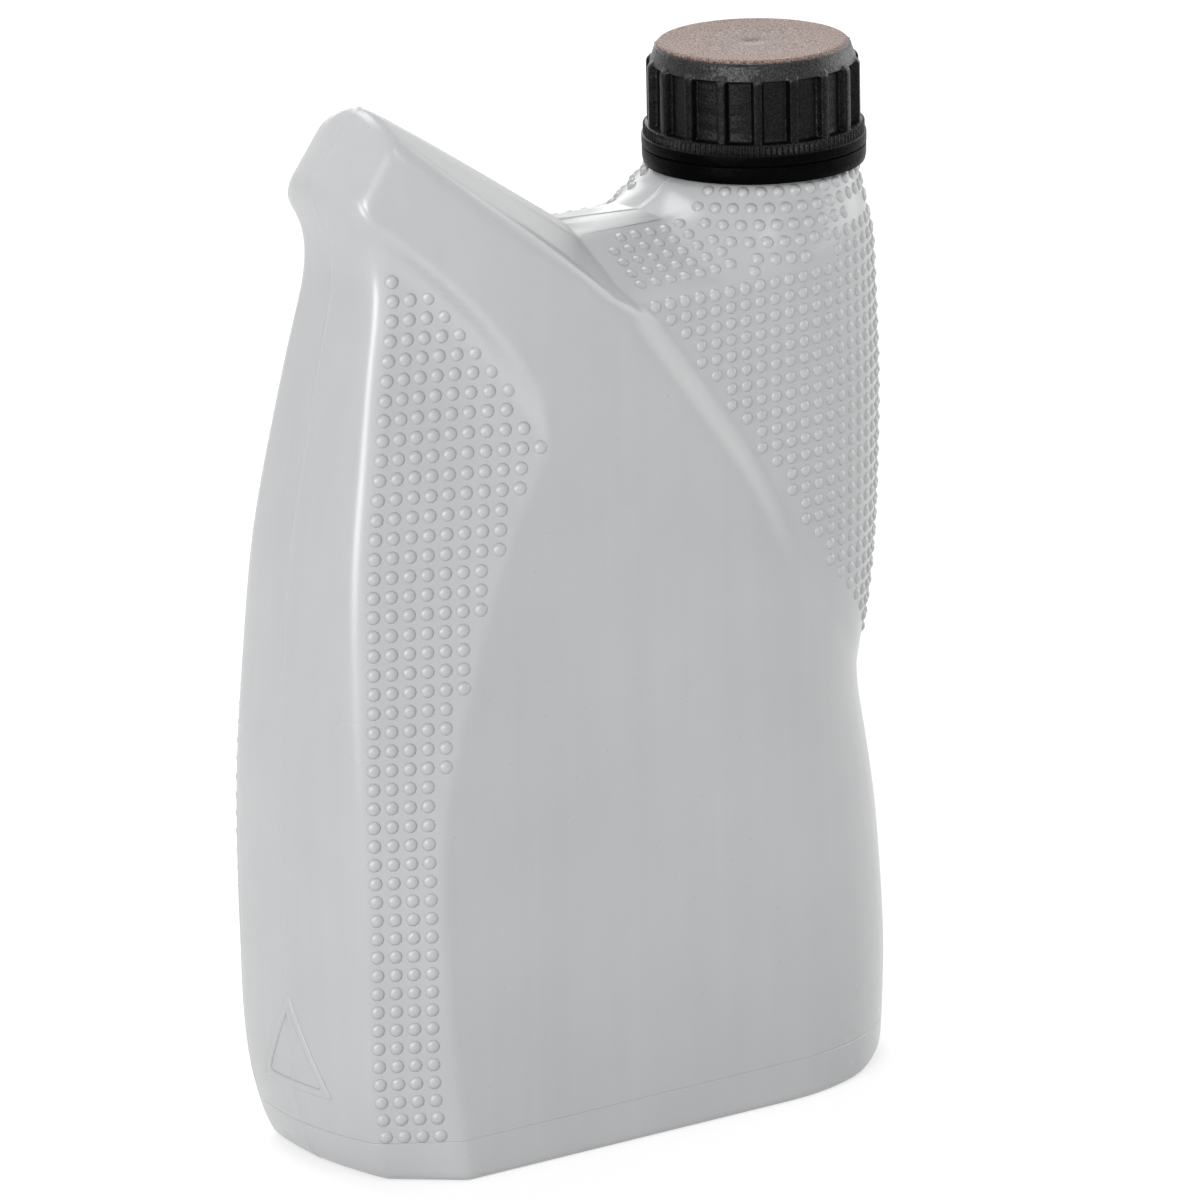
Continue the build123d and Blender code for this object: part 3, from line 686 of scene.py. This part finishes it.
finishForm = {
    "axisX": 44.15, "radius": 15.8, "bore": 13.9, "top": 198.2, "groove": 17.4, "grooveTop": 180.4,
    "bead": 19.1, "beadTop": 181.3, "pitch": 4.2, "threadHeight": 1.15, "threadHalf": 1.3,
    "threadFoot": 186.2, "threadTurns": 2.0, "boreFoot": 120.0,
}


def neckFinish(loop):
    # rows of (radius, height) above the ledge, turned about the cap's axis at the loop's angles;
    # the thread is a bump of half a cosine round a helix
    form = finishForm
    angle = np.arctan2(loop[:, 1], loop[:, 0] - form["axisX"])
    rows = [(18.3, 178.0), (form["groove"] + 0.3, 178.0), (form["groove"], 178.3), (form["groove"], 179.4),
            (form["groove"], 180.2), (form["groove"] + 0.2, form["grooveTop"]), (form["bead"] - 0.2, form["grooveTop"]),
            (form["bead"], form["grooveTop"] + 0.2), (form["bead"], form["beadTop"] - 0.1),
            (form["bead"] - 0.3, form["beadTop"] + 0.25), (form["radius"] + 0.3, 184.35), (form["radius"], 184.8)]
    rows += [(form["radius"], z) for z in np.linspace(185.2, form["top"] - 0.6, 40)]
    rows += [(form["radius"] - 0.12, form["top"] - 0.25), (form["radius"] - 0.5, form["top"]),
             (form["bore"] + 0.3, form["top"]), (form["bore"] + 0.08, form["top"] - 0.1),
             (form["bore"], form["top"] - 0.4), (form["bore"], 190), (form["bore"], 170),
             (form["bore"], form["boreFoot"]),
             (0.0, form["boreFoot"])]
    rows = np.array(rows)
    radius = rows[:, :1] + 0 * angle
    height = rows[:, 1:] + 0 * angle
    turns = (angle / (2 * np.pi)) % 1
    onWall = (rows[:, 0] == form["radius"])[:, None] & (rows[:, 1] > 185)[:, None]
    for lap in range(3):
        along = turns + lap
        helix = form["threadFoot"] + form["pitch"] * along
        off = np.abs(height - helix) / form["threadHalf"]
        fade = smoothStep(along, 0.0, 0.12) * smoothStep(along, form["threadTurns"], form["threadTurns"] - 0.12)
        bump = form["threadHeight"] * np.clip(1.6 * np.cos(np.clip(off, 0, 1) * np.pi / 2), 0, 1) * fade
        radius = np.where(onWall, np.maximum(radius, form["radius"] + bump), radius)
    points = np.stack([form["axisX"] + radius * np.cos(angle), radius * np.sin(angle), height], -1)
    return np.concatenate([loop[None], points])


dotForm = {
    "height": 0.62, "sunk": 0.3, "sides": 10, "gripPitch": 3.4, "gripRise": 3.6, "gripRadius": 1.36,
    "gripFoot": 9.6, "gripMargin": 2.0, "gripInset": 1.0, "edgeMargin": 1.5, "gripFlatness": 0.93,
    "shoulderPitch": 3.45, "shoulderRise": 3.15, "shoulderRadius": 1.24, "shoulderFoot": 60.4,
    "shoulderStart": -2.0, "sailMargin": 2.3, "partingMargin": 1.9, "shoulderFlatness": 0.8,
    "apart": 2.75, "saddleMargin": 8.9, "wedgeStart": -0.3, "wedgeMargin": 2.0,
}


def skinNormal(place):
    # slope of the field by central differences
    step = 0.05
    slope = np.stack([bottleField(*(place + step * axis).T) - bottleField(*(place - step * axis).T)
                      for axis in np.eye(3)], -1)
    return slope / np.linalg.norm(slope, axis=1, keepdims=True)


def settle(place, radius, flatness):
    # drops places that are off the skin, too near another or where the skin bends; puts the others on it
    place = place[np.abs(bottleField(*place.T)) < 2.2]
    for _ in range(4):
        place = place - bottleField(*place.T)[:, None] * skinNormal(place)
    between = np.linalg.norm(place[:, None] - place[None], axis=2)
    kept = np.ones(len(place), bool)
    for index in range(1, len(place)):
        kept[index] = not (kept[:index] & (between[index, :index] < dotForm["apart"])).any()
    place = place[kept]
    normal = skinNormal(place)
    level = np.cross(normal, (0.0, 0.0, 1.0))
    level = level / np.linalg.norm(level, axis=1, keepdims=True)
    upright = np.cross(level, normal)
    fits = np.abs(place[:, 1]) > dotForm["partingMargin"]
    for turn in np.radians(np.arange(0, 360, 45)):
        around = place + (radius + 0.2) * (np.cos(turn) * level + np.sin(turn) * upright)
        around = around - bottleField(*around.T)[:, None] * normal
        fits &= (skinNormal(around) * normal).sum(1) > flatness
    return place[fits], normal[fits], level[fits], upright[fits]


def domes(place, radius, flatness):
    # low domes: rings of points about each place, their height falling with the square of their width;
    # the lowest ring and the lower pole are sunk in the skin
    place, normal, level, upright = settle(place, radius, flatness)
    turn = np.linspace(0, 2 * np.pi, dotForm["sides"], endpoint=False)
    share = np.array([0.0, 0.4, 0.72, 1.0])
    wide = np.append(share, [1.0, 0]) * radius
    high = np.append((1 - share ** 2) * dotForm["height"], [-dotForm["sunk"]] * 2)
    around = (np.cos(turn)[:, None, None] * level + np.sin(turn)[:, None, None] * upright)
    points = place + high[:, None, None, None] * normal + wide[:, None, None, None] * around
    points = np.moveaxis(points, 2, 0)
    quads = gridQuads(len(wide), len(turn), closed=True)
    start = np.arange(len(place))[:, None, None] * len(wide) * len(turn)
    mirrored = np.array([1, -1, 1])
    quads = (quads + start).reshape(-1, 4)
    return [(points, quads), (points * mirrored, quads)]


def gripPlaces():
    # rows up the grip facet: from the ridge to the label panel or to the arm's lower edge
    form, dots = bottleForm, dotForm
    found = []
    for z in np.arange(dots["gripFoot"], 186, dots["gripRise"]):
        half, facetX = table("half", z), table("facetX", z)
        ridgeX = table("left", z) + form["crown"] - np.sqrt(form["crown"] ** 2 - half ** 2)
        width = np.hypot(facetX - ridgeX, form["labelHalf"] - half)
        start = dots["gripMargin"] + dots["gripInset"] * smoothStep(z, 60, 105)
        along = np.arange(start, width - dots["edgeMargin"], dots["gripPitch"])
        x = ridgeX + along * (facetX - ridgeX) / width
        x = x[(x - table("armX", z)) * table("armCos", z) < -dots["gripMargin"] - 0.5]
        if len(x):
            found.append(depthAt(x, 0 * x + z))
    return np.concatenate(found)


def shoulderPlaces():
    # rows round the shoulder's plan, rows up its slope and rings round the cone, on one pitch
    form, dots = bottleForm, dotForm
    half, end = form["labelHalf"] - form["sailStep"], form["endLength"]
    turn = np.linspace(0, np.pi / 2, 400)
    ellipse = np.stack([end * np.sin(turn), -half * np.cos(turn)], -1)
    arc = np.concatenate([[0], np.cumsum(np.linalg.norm(np.diff(ellipse, axis=0), axis=1))])
    found = []
    for z in np.arange(dots["shoulderFoot"], form["ridgeZ"] + 7, dots["shoulderRise"]):
        startX = table("shoulderEnd", z) - end
        along = np.arange(dots["shoulderStart"], startX + arc[-1], dots["shoulderPitch"])
        x = np.where(along < startX, along, startX + np.interp(along - startX, arc, ellipse[:, 0]))
        y = np.where(along < startX, -half, np.interp(along - startX, arc, ellipse[:, 1]))
        keep = (x - table("sailX", z)) * table("sailCos", z) > dots["sailMargin"]
        keep &= (z < form["ridgeZ"]) | (x > form["axisX"])
        found.append(np.stack([x, y, 0 * x + z], -1)[keep])
    rise, wide = form["saddleZ"] - form["ridgeZ"], half - form["saddleHalf"]
    share = np.arange(2.6, np.hypot(rise, wide) - 0.9, dots["shoulderRise"]) / np.hypot(rise, wide)
    for x in np.arange(dots["shoulderStart"], form["houseEnd"], dots["shoulderPitch"]):
        found.append(np.stack([0 * share + x, -half + wide * share, form["ridgeZ"] + rise * share], -1))
    for up in np.arange(15.2, -1, -dots["shoulderRise"] * 0.9):
        radius = form["coneRadius"] - form["coneTaper"] * up + 1
        turn = np.arange(0.12, np.pi, dots["shoulderPitch"] / radius) + (up * 0.037) % 0.1
        found.append(np.stack([form["coneX"] + form["coneLean"] * up - radius * np.cos(turn),
                               -radius * np.sin(turn), 0 * turn + form["ridgeZ"] + up], -1))
    place = np.concatenate(found)
    # the saddle and its strip up the neck stay smooth, and so does the foot of the wedge
    smooth = (np.abs(place[:, 1]) < dots["saddleMargin"]) & (place[:, 0] < form["axisX"])
    outwards = np.clip((np.abs(place[:, 1]) - form["saddleHalf"]) / form["wedgeReach"], 0, 1)
    wedgeFoot = dots["wedgeStart"] - form["wedgeFoot"][2] * outwards + dots["wedgeMargin"]
    return place[~smooth & ((place[:, 0] > wedgeFoot) | (place[:, 2] < form["ridgeZ"]))]


markForm = {
    # a raised plain outline of three equal sides on the narrow side: side, stroke, height, places
    "side": 19.4, "halfStroke": 0.85, "height": 0.27, "footZ": 16.3, "centreY": -0.4, "rounding": 1.1, "cells": 10,
    "section": ((-1, -0.6), (-0.94, 0.5), (-0.78, 1), (0, 1), (0.78, 1), (0.94, 0.5), (1, -0.6), (-1, -0.6)),
}


def triangleMark():
    # rows are smaller and larger triangles about one centre, each at its own height over the skin
    form = markForm
    inRadius = form["side"] / (2 * np.sqrt(3))
    rows = []
    for share, lift in form["section"]:
        size = 2 * (inRadius + share * form["halfStroke"])
        corners = [(size * np.sin(t), size * np.cos(t), form["rounding"] * size / inRadius / 2)
                   for t in np.radians([0, 120, 240])]
        bent = roundedProfile(corners, 6).reshape(3, 6, 2)
        straight = np.linspace(bent[:, -1], np.roll(bent, -1, 0)[:, 0], form["cells"])[1:-1]
        loop = np.concatenate([bent, np.moveaxis(straight, 0, 1)], 1).reshape(-1, 2)
        y, z = loop[:, 0] + form["centreY"], loop[:, 1] + form["footZ"] + inRadius
        skin = meetSkin(np.stack([0 * y - 30, y, z], -1), np.array([-1.0, 0, 0]), 60)
        skin[:, 0] -= lift * form["height"]
        rows.append(skin)
    return [(np.stack(rows), gridQuads(len(rows), len(rows[0]), closed=True))]


addPiece("bottleSkin", makeSkin(), bottleMaterial, "bottle", ["bottle"])
print("bottle skin done")
for name, places, kind in (("gripDots", gripPlaces(), "grip"), ("shoulderDots", shoulderPlaces(), "shoulder")):
    patches = domes(places, dotForm[kind + "Radius"], dotForm[kind + "Flatness"])
    addPiece(name, patches, bottleMaterial, "bottle")
addPiece("triangleMark", triangleMark(), bottleMaterial, "bottle")
print("dots and mark done")


# cap

capForm = {
    "axisX": 44.15, "foot": 181.3, "top": 201.06, "dish": 0.4,
    "rimRounding": 0.9, "collarTop": 18.33, "collarFoot": 19.6, "collarHeight": 3.85,
    "wallRadius": 18.8, "ribs": 18, "ribStart": 15.8, "ribRadius": 20.4, "ribWidth": 2.0,
    "ribTop": 198.11, "ribTopRounding": 1.6, "teeth": 120, "toothRadius": 21.1, "toothDepth": 0.45,
    "bandTop": 185.4, "bandFoot": 183.4, "skirtRadius": 21.36, "skirtBore": 19.9,
    "skirtBoreTop": 184.0, "boreRadius": 17.4, "plateFoot": 199.4, "columns": 1080,
}


def capShell():
    # rows of (radius, height) from the top's centre to the foot and up the bore to the plate;
    # on the wall rows the radius is the larger of the wall, the collar and a rounded rib,
    # and on the band rows it swings between the tooth crest and the tooth root
    form = capForm
    angle = np.linspace(0, 2 * np.pi, form["columns"], endpoint=False)
    flatRows = []
    top, rim = form["top"], form["rimRounding"]
    for radius in (0.05, 0.5, 0.95, 1.1, 1.3, 4, 8, 12, 15, 16.6, 17.2):
        sink = form["dish"] * (1 - (radius / 17.3) ** 2)
        gate = 0.12 * (smoothStep(radius, 0.4, 0.6) - smoothStep(radius, 1.05, 1.35))
        flatRows.append((radius, top - sink - gate))
    for turn in np.radians(np.linspace(8, 82, 7)):
        flatRows.append((form["collarTop"] - rim + rim * np.sin(turn), top - rim + rim * np.cos(turn)))
    rows = [np.stack([np.full_like(angle, r), np.full_like(angle, z)], -1) for r, z in flatRows]
    # wall: collar, ribs and panels between them
    collarFootZ = top - form["collarHeight"]
    heights = np.concatenate([np.linspace(top - rim, collarFootZ + 0.2, 9),
                              collarFootZ + np.array([0.05, -0.08, -0.22, -0.4, -0.7, -1.1, -1.6]),
                              np.linspace(collarFootZ - 2.5, form["bandTop"] + 0.5, 8),
                              form["bandTop"] + np.array([0.3, 0.15, 0.05])])
    spacing = 2 * np.pi / form["ribs"]
    fromRib = (angle - np.radians(form["ribStart"]) + spacing / 2) % spacing - spacing / 2
    across = np.abs(fromRib) * form["ribRadius"]
    flank = smoothStep(across, form["ribWidth"] / 2 + 0.35, form["ribWidth"] / 2 - 0.3)
    crown = 0.12 * np.clip(across / (form["ribWidth"] / 2), 0, 1) ** 2
    for height in heights:
        taper = (top - height) / form["collarHeight"]
        collar = form["collarTop"] + (form["collarFoot"] - form["collarTop"]) * taper
        under = smoothStep(height, collarFootZ - 0.35, collarFootZ + 0.1)
        wall = form["wallRadius"] + (collar - form["wallRadius"]) * under if height < collarFootZ + 0.1 else collar
        drop = np.clip(height - (form["ribTop"] - form["ribTopRounding"]), 0, form["ribTopRounding"])
        ribHead = form["ribTopRounding"] - np.sqrt(form["ribTopRounding"] ** 2 - drop ** 2)
        ribRadius = form["ribRadius"] - ribHead - crown
        land = 0.35 * smoothStep(height, form["bandTop"] + 0.45, form["bandTop"])
        radius = np.maximum(wall + land, wall + flank * (ribRadius - wall))
        rows.append(np.stack([radius, np.full_like(angle, height)], -1))
    # toothed band and skirt
    swing = np.abs((angle * form["teeth"] / (2 * np.pi)) % 1 * 2 - 1)
    tooth = form["toothRadius"] - form["toothDepth"] * swing
    for height, share in ((form["bandTop"] + 0.02, 0.0), (form["bandTop"] - 0.15, 1.0),
                          (form["bandFoot"] + 0.15, 1.0), (form["bandFoot"] + 0.03, 1.0)):
        inner = form["toothRadius"] - form["toothDepth"] - 0.15
        rows.append(np.stack([inner + (tooth - inner) * share, np.full_like(angle, height)], -1))
    skirt, foot, bore = form["skirtRadius"], form["foot"], form["skirtBore"]
    closing = [(skirt - 0.18, form["bandFoot"]), (skirt - 0.05, form["bandFoot"] - 0.05),
               (skirt, form["bandFoot"] - 0.2), (skirt, foot + 0.9), (skirt, foot + 0.25), (skirt - 0.07, foot + 0.07),
               (skirt - 0.25, foot), (bore + 0.1, foot), (bore, foot + 0.1), (bore, form["skirtBoreTop"]),
               (form["boreRadius"] + 0.1, form["skirtBoreTop"]), (form["boreRadius"], form["skirtBoreTop"] + 0.1),
               (form["boreRadius"], form["plateFoot"] - 0.2), (form["boreRadius"] - 0.2, form["plateFoot"]),
               (0.05, form["plateFoot"])]
    rows += [np.stack([np.full_like(angle, r), np.full_like(angle, z)], -1) for r, z in closing]
    shell = np.stack(rows)
    points = np.stack([form["axisX"] + shell[..., 0] * np.cos(angle), shell[..., 0] * np.sin(angle),
                       shell[..., 1]], -1)
    # both poles shrink to one point, which the merge of doubles closes
    points[0] = (form["axisX"], 0, shell[0, 0, 1])
    points[-1] = (form["axisX"], 0, form["plateFoot"])
    return points, gridQuads(len(points), form["columns"], closed=True)


addPiece("screwCap", [capShell()], capMaterial, "cap", ["cap"])
print("cap done")


# tamper ring and liner

ringForm = {
    "axisX": 44.15, "foot": 177.8, "top": 181.1, "bore": 19.9, "outer": 21.3, "footTaper": 0.28,
    "taperHeight": 1.3, "flapRadius": 18.0, "flapFoot": 178.0, "flapTop": 179.8, "columns": 240,
}


def ringShell():
    # one closed profile turned about the cap's axis: a tapered wall with the flap that holds it under the bead
    form = ringForm
    profile = roundedProfile([
        (form["bore"], form["foot"], 0.15), (form["outer"] - form["footTaper"], form["foot"], 0.3),
        (form["outer"], form["foot"] + form["taperHeight"], 0.5), (form["outer"], form["top"], 0.25),
        (form["bore"], form["top"], 0.2), (form["bore"], form["flapTop"], 0.0),
        (form["flapRadius"], form["flapTop"], 0.25), (form["flapRadius"], form["flapFoot"], 0.2),
        (form["bore"], form["flapFoot"], 0.0)])
    return turned(np.concatenate([profile, profile[:1]]), form["axisX"], form["columns"])


linerForm = {
    "axisX": 44.15, "foot": 198.3, "top": 199.4, "radius": 17.0, "flatInset": 4,
    "edge": 0.25, "edgeHalf": 0.07, "columns": 180,
}


def linerShell():
    # a flat disc turned about the cap's axis, its rim eased by two short steps
    form = linerForm
    radius, foot, top, edge, edgeHalf = (form[key] for key in ("radius", "foot", "top", "edge", "edgeHalf"))
    profile = [(0, foot), (radius - form["flatInset"], foot), (radius - edge, foot),
               (radius - edgeHalf, foot + edgeHalf), (radius, foot + edge),
               (radius, top - edge), (radius - edgeHalf, top - edgeHalf),
               (radius - edge, top), (radius - form["flatInset"], top), (0, top)]
    return turned(profile, form["axisX"], form["columns"])


addPiece("tamperRing", [ringShell()], capMaterial, "bottle", ["tamper_ring"])
addPiece("linerDisc", [linerShell()], linerMaterial, "liner", ["cap_liner"])
print("ring and liner done")


# floor, light, camera

stageSet = {
    "floorHalf": 3000.0, "floorGrey": "#e9e9e9", "floorGlow": 0.62, "floorShare": 0.45,
    "ambient": 0.46, "focal": 358.49, "sensor": 36.0,
    "target": (6.301, 0.0, 97.62), "distance": 2266.53, "yaw": 0.6235, "pitch": 0.2764, "roll": -0.0179,
    # name: (place, target, width, height, watts)
    "lamps": {
        "softLeft": ((-1550, -560, 300), (0, 0, 110), 380, 1000, 13.5),
        "keyLeft": ((-1080, -950, 900), (0, 0, 110), 360, 360, 6.5),
        "softRight": ((1500, -250, 520), (0, 0, 100), 1500, 1200, 10.0),
        "softFront": ((-60, -1350, 1500), (20, 0, 150), 500, 500, 3.6),
        "softBack": ((720, 1350, 560), (20, 0, 180), 1000, 600, 3.4),
        "softTop": ((100, 700, 1600), (0, 0, 100), 900, 900, 12.0),
    },
}


def makeFloor():
    # one plain square; seen directly it glows towards white and still takes the shadow
    material, tree, coords, output = newMaterial("Floor plain pale")
    path = addNode(tree, "ShaderNodeLightPath")
    seen = addNode(tree, "ShaderNodeMath", {"operation": "MAXIMUM"},
                   {0: path.outputs["Is Camera Ray"], 1: path.outputs["Is Glossy Ray"]})
    plain = addNode(tree, "ShaderNodeBsdfDiffuse", {}, {"Color": linear(stageSet["floorGrey"])})
    share = stageSet["floorShare"]
    thin = addNode(tree, "ShaderNodeBsdfDiffuse", {}, {"Color": (share, share, share, 1)})
    glow = addNode(tree, "ShaderNodeEmission", {}, {"Strength": stageSet["floorGlow"]})
    both = addNode(tree, "ShaderNodeAddShader", {}, {0: thin.outputs[0], 1: glow.outputs[0]})
    mix = addNode(tree, "ShaderNodeMixShader", {},
                  {0: seen.outputs[0], 1: plain.outputs[0], 2: both.outputs[0]})
    tree.links.new(mix.outputs[0], output.inputs["Surface"])
    half = stageSet["floorHalf"]
    mesh = bpy.data.meshes.new("floor")
    mesh.from_pydata([(x * half * mm, y * half * mm, 0) for x, y in ((-1, -1), (1, -1), (1, 1), (-1, 1))],
                     [], [(0, 1, 2, 3)])
    mesh.materials.append(material)
    floor = bpy.data.objects.new("floor", mesh)
    scene.collection.objects.link(floor)


def makeWorld():
    # white where the camera and reflections see it, dimmer as light
    world = bpy.data.worlds.new("studio")
    scene.world = world
    world.use_nodes = True
    tree = world.node_tree
    tree.nodes.clear()
    path = addNode(tree, "ShaderNodeLightPath")
    seen = addNode(tree, "ShaderNodeMath", {"operation": "MAXIMUM"},
                   {0: path.outputs["Is Camera Ray"], 1: path.outputs["Is Glossy Ray"]})
    through = addNode(tree, "ShaderNodeMath", {"operation": "MAXIMUM"},
                      {0: seen.outputs[0], 1: path.outputs["Is Transmission Ray"]})
    strength = addNode(tree, "ShaderNodeMapRange", {},
                       {"Value": through.outputs[0], "To Min": stageSet["ambient"], "To Max": 1.0})
    back = addNode(tree, "ShaderNodeBackground", {}, {"Color": (1, 1, 1, 1), "Strength": strength.outputs[0]})
    output = addNode(tree, "ShaderNodeOutputWorld")
    tree.links.new(back.outputs[0], output.inputs["Surface"])


def lookAt(place, target):
    # a frame at place whose -Z runs to the target, upright
    back = np.subtract(place, target) / np.linalg.norm(np.subtract(place, target))
    right = np.cross((0, 0, 1), back)
    right = right / np.linalg.norm(right)
    up = np.cross(back, right)
    return Matrix(np.vstack([np.column_stack([right, up, back, np.multiply(place, mm)]), (0, 0, 0, 1)]).tolist())


def makeLamps():
    for name, (place, target, width, height, watts) in stageSet["lamps"].items():
        lamp = bpy.data.lights.new(name, "AREA")
        lamp.shape = "RECTANGLE"
        lamp.size, lamp.size_y, lamp.energy = width * mm, height * mm, watts
        holder = bpy.data.objects.new(name, lamp)
        holder.matrix_world = lookAt(place, target)
        scene.collection.objects.link(holder)


def makeCamera():
    # yaw and pitch give the line of sight, roll turns the frame about it
    yaw, pitch, roll = stageSet["yaw"], stageSet["pitch"], stageSet["roll"]
    ahead = np.array([np.sin(yaw) * np.cos(pitch), np.cos(yaw) * np.cos(pitch), -np.sin(pitch)])
    level = np.array([np.cos(yaw), -np.sin(yaw), 0])
    upright = np.cross(level, ahead)
    right = np.cos(roll) * level + np.sin(roll) * upright
    up = -np.sin(roll) * level + np.cos(roll) * upright
    place = np.array(stageSet["target"]) - stageSet["distance"] * ahead
    camera = bpy.data.cameras.new("photoView")
    camera.lens, camera.sensor_width = stageSet["focal"], stageSet["sensor"]
    holder = bpy.data.objects.new("photoView", camera)
    columns = np.column_stack([right, up, -ahead, place * mm])
    holder.matrix_world = Matrix(np.vstack([columns, (0, 0, 0, 1)]).tolist())
    scene.collection.objects.link(holder)
    scene.camera = holder


makeFloor()
makeWorld()
makeLamps()
makeCamera()
print("stage done")
